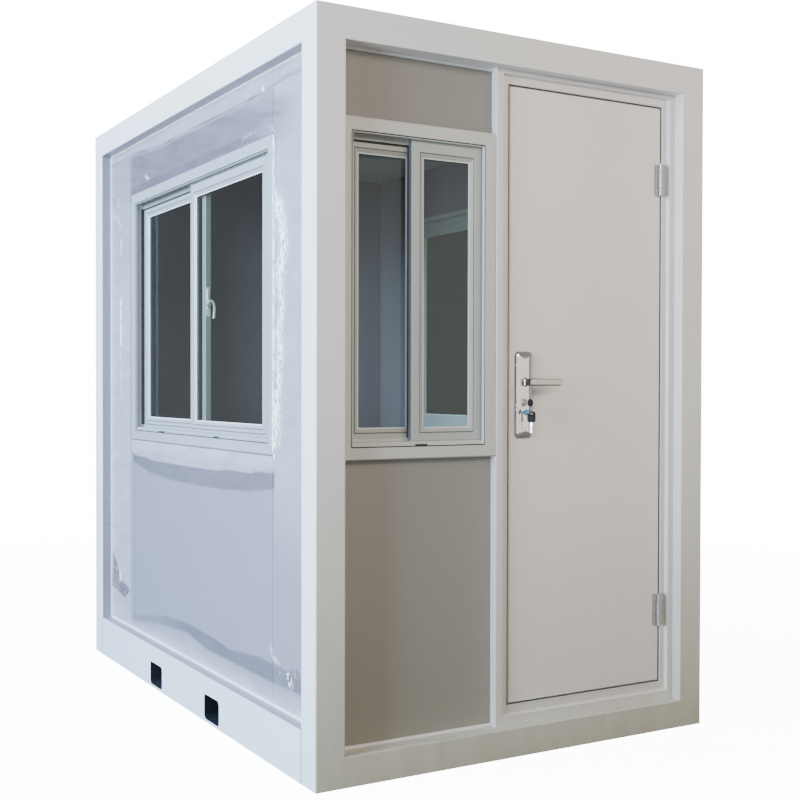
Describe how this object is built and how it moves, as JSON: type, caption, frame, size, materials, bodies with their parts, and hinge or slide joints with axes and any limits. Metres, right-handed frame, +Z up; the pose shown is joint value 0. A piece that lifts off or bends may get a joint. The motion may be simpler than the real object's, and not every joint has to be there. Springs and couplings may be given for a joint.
{
  "type": "security guard booth",
  "caption": "Flat-topped guard booth of white posts, rails and recessed panels, with sliding windows, an outward-opening door with lever lock, and fork pockets in its base.",
  "frame": {"origin": "on the ground, under the middle of the booth's base", "axes": "+Z up, +X to the right along the front wall as seen from outside, +Y from the front wall with the door to the back wall"},
  "size_m": [1.55, 2.261, 2.35],
  "materials": {
    "frame_paint": "satin off-white",
    "roof_paint": "satin light grey",
    "floor_covering": "matt grey sheet flooring",
    "panel_skin": "satin white prepainted steel",
    "front_panel_skin": "satin warm grey prepainted steel",
    "window_frame_coating": "satin pale grey powder coat",
    "window_sash_coating": "satin pale grey powder coat",
    "window_glass": "clear",
    "door_frame_paint": "satin off-white",
    "door_paint": "satin warm white",
    "hinge_steel": "brushed",
    "lock_chrome": "polished",
    "cylinder_brass": "nickel-plated brass",
    "key_plastic": "black moulded key heads",
    "clear_film": "clear wrinkled film"
  },
  "bodies": {
    "booth": {"post_front_left": "frame_paint", "post_back_left": "frame_paint", "post_front_right": "frame_paint", "post_back_right": "frame_paint", "top_rail_front": "frame_paint", "top_rail_back": "frame_paint", "top_rail_left": "frame_paint", "top_rail_right": "frame_paint", "bottom_rail_front": "frame_paint", "bottom_rail_back": "frame_paint", "bottom_rail_left": "frame_paint", "bottom_rail_right": "frame_paint", "fork_tubes": "frame_paint", "floor": "floor_covering", "ceiling": "panel_skin", "roof_sheet": "roof_paint", "left_wall_front_panel": "panel_skin", "left_wall_back_panel": "panel_skin", "left_wall_lower_panel": "panel_skin", "left_wall_upper_panel": "panel_skin", "right_wall_front_panel": "panel_skin", "right_wall_back_panel": "panel_skin", "right_wall_lower_panel": "panel_skin", "right_wall_upper_panel": "panel_skin", "back_wall_left_panel": "panel_skin", "back_wall_right_panel": "panel_skin", "front_wall_lower_panel": "front_panel_skin", "front_wall_upper_panel": "front_panel_skin", "front_window_frame": "window_frame_coating", "left_window_frame": "window_frame_coating", "right_window_frame": "window_frame_coating", "front_window_sashes": "window_sash_coating", "left_window_sashes": "window_sash_coating", "right_window_sashes": "window_sash_coating", "front_window_glass": "window_glass", "left_window_glass": "window_glass", "right_window_glass": "window_glass", "door_frame": "door_frame_paint", "hinge_frame_halves": "hinge_steel", "protective_film": "clear_film"},
    "door": {"door_leaf": "door_paint", "hinge_leaf_halves": "hinge_steel", "lock_plates": "lock_chrome", "lock_cylinder": "cylinder_brass", "keys": "key_plastic"},
    "lever": {"lever_handle": "lock_chrome"}
  },
  "joints": [
    {"name": "door_hinge", "type": "hinge", "parent": "booth", "child": "door", "pos_m": [0.613, -1.083, 1.1825], "axis": [0, 0, 1], "range_deg": [0, 110]},
    {"name": "lever_turn", "type": "hinge", "parent": "door", "child": "lever", "pos_m": [0.018, -1.075, 1.227], "axis": [0, 1, 0], "range_deg": [0, 40], "stiffness_Nm_per_rad": 2}
  ]
}
